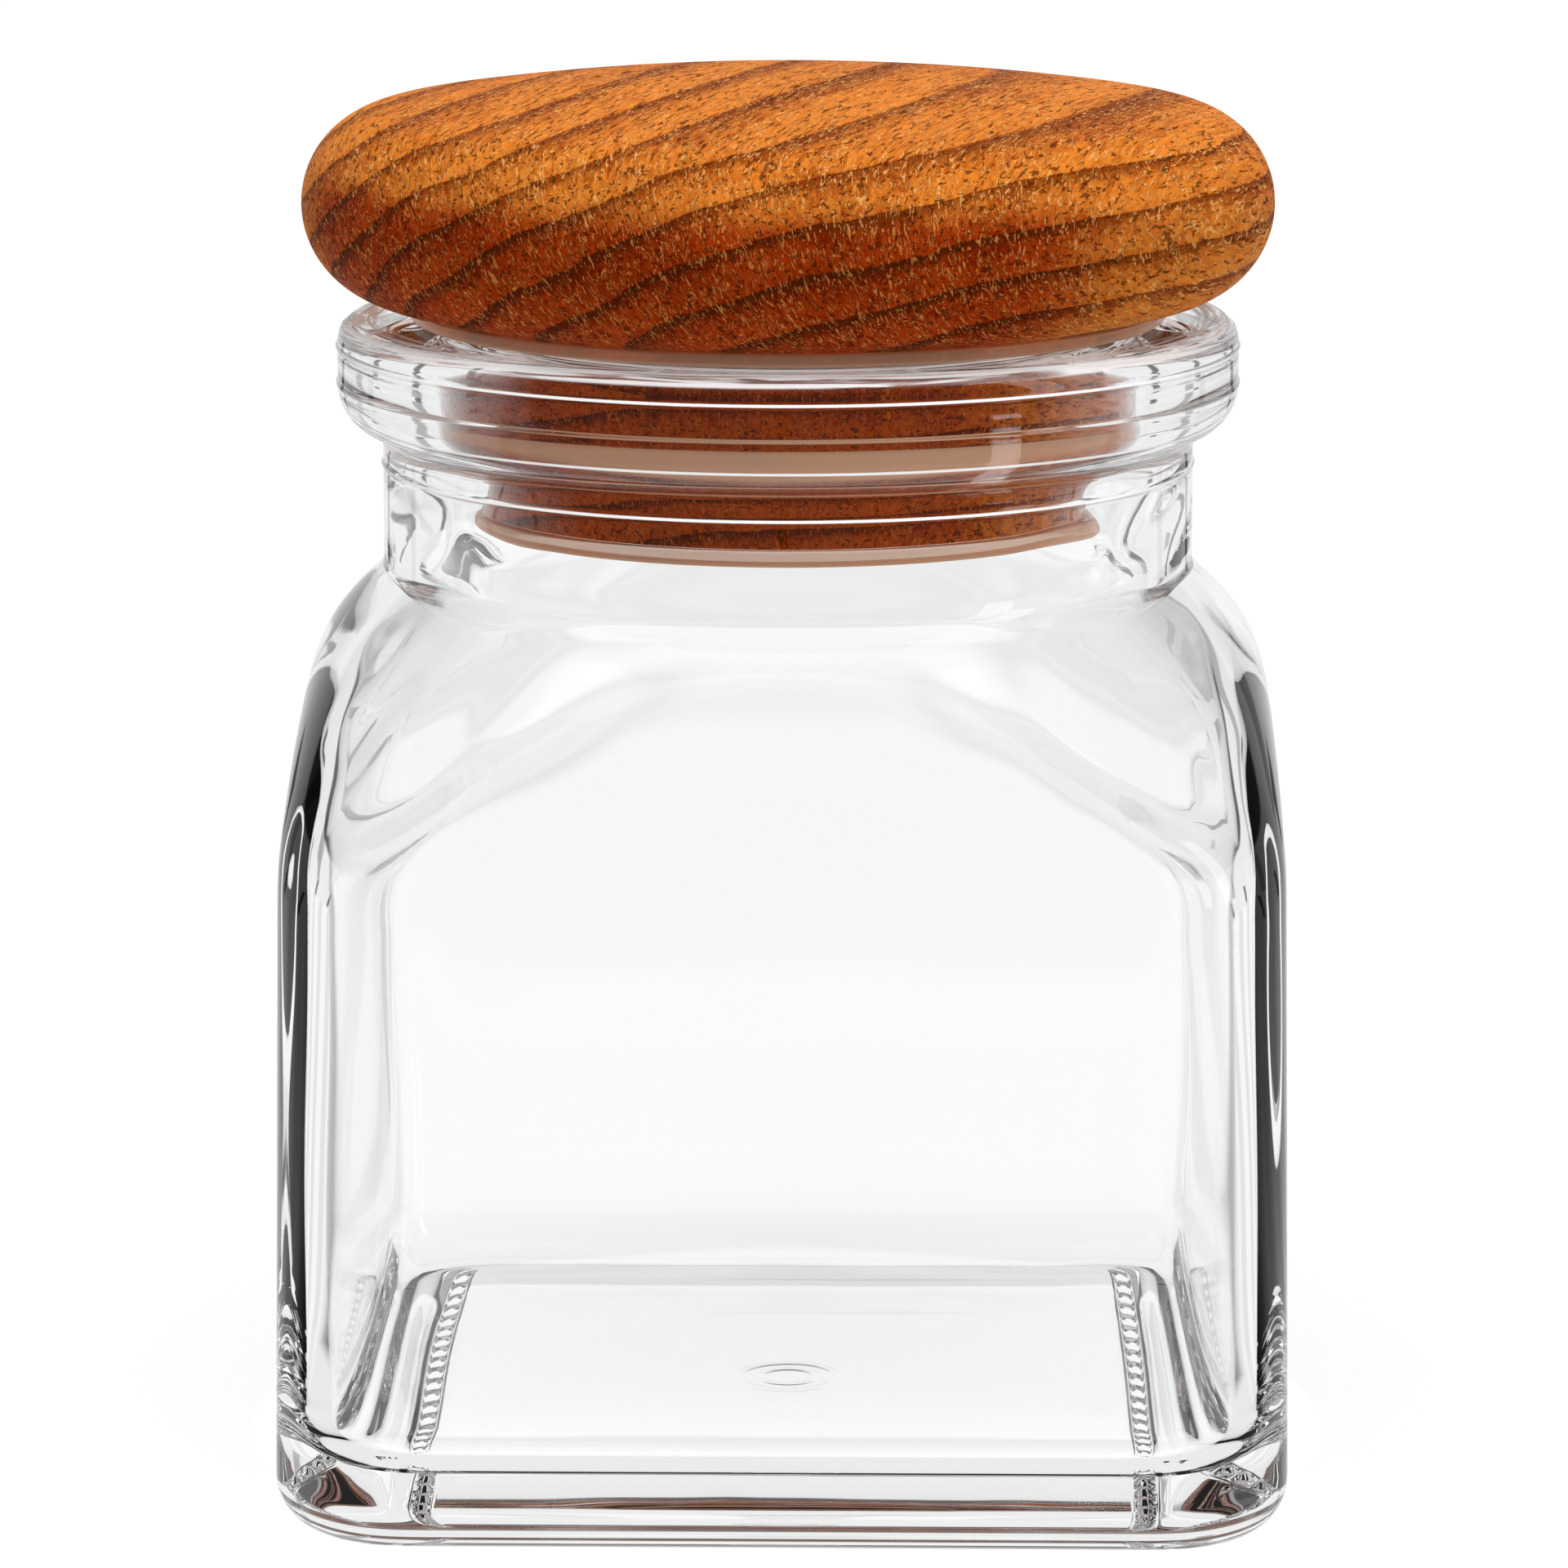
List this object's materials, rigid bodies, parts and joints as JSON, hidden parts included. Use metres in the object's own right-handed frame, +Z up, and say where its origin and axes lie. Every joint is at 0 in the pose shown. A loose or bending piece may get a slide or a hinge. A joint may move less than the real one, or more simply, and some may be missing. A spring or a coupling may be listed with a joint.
{
  "type": "spice jar",
  "caption": "Square clear glass jar with a round neck, closed by a lift-out turned wooden stopper with a clear silicone sealing ring.",
  "frame": {"origin": "middle of the ring on which the jar stands, at the level of the table", "axes": "+Z up along the axis of the neck, +X to the right and -Y to the front, square to the flat sides"},
  "size_m": [0.0656, 0.0656, 0.0915],
  "materials": {
    "clear_glass": "gloss",
    "disc_wood": "satin oiled",
    "plug_wood": "satin oiled",
    "clear_silicone": "translucent"
  },
  "bodies": {
    "jar": {"glass_jar": "clear_glass"},
    "seal": {"seal_ring": "clear_silicone"},
    "lid": {"lid_disc": "disc_wood", "lid_plug": "plug_wood"}
  },
  "joints": [
    {"name": "lid_lift", "type": "slide", "parent": "jar", "child": "seal", "axis": [0, 0, 1], "range_m": [0, 0.036]},
    {"name": "lid_turn", "type": "hinge", "parent": "seal", "child": "lid", "pos_m": [0, 0, 0.0764], "axis": [0, 0, 1], "continuous": true}
  ]
}
